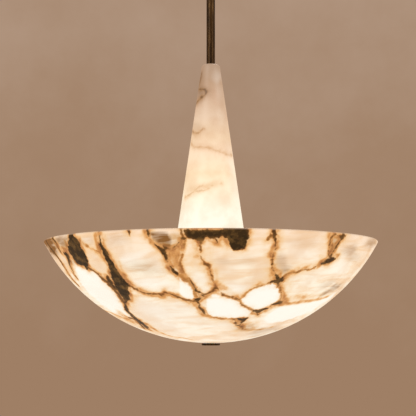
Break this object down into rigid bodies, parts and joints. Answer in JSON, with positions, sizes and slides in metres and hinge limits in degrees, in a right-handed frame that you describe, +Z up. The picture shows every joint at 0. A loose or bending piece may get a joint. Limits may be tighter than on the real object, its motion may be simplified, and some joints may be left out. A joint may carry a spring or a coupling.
{
  "type": "bowl pendant light",
  "caption": "Ceiling pendant with a shallow veined alabaster bowl, a conical alabaster shade rising from it, and a dark bronze stem on a swivel canopy.",
  "frame": {"origin": "centre of the face of the crossbar that lies against the ceiling", "axes": "+Z up to the ceiling, the fixture hangs along -Z; the crossbar runs along X; -Y faces the picture's camera"},
  "size_m": [0.4973, 0.4972, 0.6942],
  "materials": {
    "alabaster": "polished veined alabaster, lit from within",
    "aged_bronze": "dark aged bronze",
    "zinc_steel": "zinc plated",
    "green_ground_screw": "green ground screw",
    "white_enamel": "white enamel",
    "nylon": "natural nylon",
    "silicone": "translucent silicone",
    "flex_sheath": "round sheathed flex",
    "porcelain": "glazed porcelain",
    "holder_shell": "bronze-painted shell",
    "lamp_brass": "nickel-brass screw cap",
    "lamp_housing": "white lamp body",
    "opal_glass": "opal glass, lit"
  },
  "bodies": {
    "ceiling_plate": {"crossbar": "zinc_steel", "canopy": "aged_bronze", "canopy_studs": "zinc_steel", "stud_lock_nuts": "zinc_steel", "canopy_cap_nuts": "aged_bronze", "ground_screw": "green_ground_screw", "seat_ring": "zinc_steel"},
    "swivel_liner": {"swivel_liner": "nylon"},
    "stem": {"hang_ball": "aged_bronze", "upper_rod": "aged_bronze", "lower_rod": "aged_bronze", "rod_joiner": "zinc_steel", "hub_nipple": "zinc_steel", "supply_flex": "flex_sheath", "supply_terminal": "porcelain", "hub_terminal": "porcelain", "cone_tray": "white_enamel", "cone_pad": "silicone", "tray_collar": "aged_bronze", "collar_screw": "zinc_steel", "hub_lid": "aged_bronze", "hub_cup": "aged_bronze", "stem_nuts": "zinc_steel", "bowl_rod": "zinc_steel", "stop_pad_ring": "silicone", "stop_plate_disc": "zinc_steel", "lamp_arm_1": "aged_bronze", "lampholder_1": "holder_shell", "lampholder_insert_1": "porcelain", "lamp_arm_2": "aged_bronze", "lampholder_2": "holder_shell", "lampholder_insert_2": "porcelain", "lamp_arm_3": "aged_bronze", "lampholder_3": "holder_shell", "lampholder_insert_3": "porcelain"},
    "conical_shade": {"cone_shade": "alabaster", "cone_bush": "nylon"},
    "bowl": {"bowl": "alabaster", "finial_pad_ring": "silicone"},
    "finial": {"finial": "aged_bronze"},
    "lamp_1_travel": {"lamp_contact_1": "lamp_brass"},
    "lamp_1": {"lamp_cap_1": "lamp_brass", "lamp_body_1": "lamp_housing", "lamp_glass_1": "opal_glass"},
    "lamp_2_travel": {"lamp_contact_2": "lamp_brass"},
    "lamp_2": {"lamp_cap_2": "lamp_brass", "lamp_body_2": "lamp_housing", "lamp_glass_2": "opal_glass"},
    "lamp_3_travel": {"lamp_contact_3": "lamp_brass"},
    "lamp_3": {"lamp_cap_3": "lamp_brass", "lamp_body_3": "lamp_housing", "lamp_glass_3": "opal_glass"}
  },
  "joints": [
    {"name": "swivel_turn", "type": "hinge", "parent": "ceiling_plate", "child": "swivel_liner", "pos_m": [0, 0, -0.0265], "axis": [0, 0, 1], "range_deg": [-170, 170]},
    {"name": "swivel_tilt", "type": "hinge", "parent": "swivel_liner", "child": "stem", "pos_m": [0, 0, -0.0265], "axis": [1, 0, 0], "range_deg": [-20, 20]},
    {"name": "cone_lift", "type": "slide", "parent": "stem", "child": "conical_shade", "axis": [0, 0, 1], "range_m": [0, 0.16]},
    {"name": "bowl_drop", "type": "slide", "parent": "stem", "child": "bowl", "axis": [0, 0, -1], "range_m": [0, 0.007]},
    {"name": "finial_turn", "type": "hinge", "parent": "bowl", "child": "finial", "pos_m": [0, 0, -0.69418], "axis": [0, 0, -1], "range_deg": [0, 2525]},
    {"name": "lamp_1_travel", "type": "slide", "parent": "stem", "child": "lamp_1_travel", "axis": [0, 0.9848, 0.1736], "range_m": [0, 0.0182]},
    {"name": "lamp_1_turn", "type": "hinge", "parent": "lamp_1_travel", "child": "lamp_1", "pos_m": [0, 0.05023, -0.60564], "axis": [0, 0.9848, 0.1736], "range_deg": [0, 1800]},
    {"name": "lamp_2_travel", "type": "slide", "parent": "stem", "child": "lamp_2_travel", "axis": [-0.8529, -0.4924, 0.1736], "range_m": [0, 0.0182]},
    {"name": "lamp_2_turn", "type": "hinge", "parent": "lamp_2_travel", "child": "lamp_2", "pos_m": [-0.0435, -0.02511, -0.60564], "axis": [-0.8529, -0.4924, 0.1736], "range_deg": [0, 1800]},
    {"name": "lamp_3_travel", "type": "slide", "parent": "stem", "child": "lamp_3_travel", "axis": [0.8529, -0.4924, 0.1736], "range_m": [0, 0.0182]},
    {"name": "lamp_3_turn", "type": "hinge", "parent": "lamp_3_travel", "child": "lamp_3", "pos_m": [0.0435, -0.02511, -0.60564], "axis": [0.8529, -0.4924, 0.1736], "range_deg": [0, 1800]}
  ],
  "couplings": [
    {"joint": "finial_turn", "follows": "bowl_drop", "rad_per_m": 6283.2},
    {"joint": "lamp_1_travel", "follows": "lamp_1_turn", "m_per_rad": 0.00057614},
    {"joint": "lamp_2_travel", "follows": "lamp_2_turn", "m_per_rad": 0.00057614},
    {"joint": "lamp_3_travel", "follows": "lamp_3_turn", "m_per_rad": 0.00057614}
  ]
}
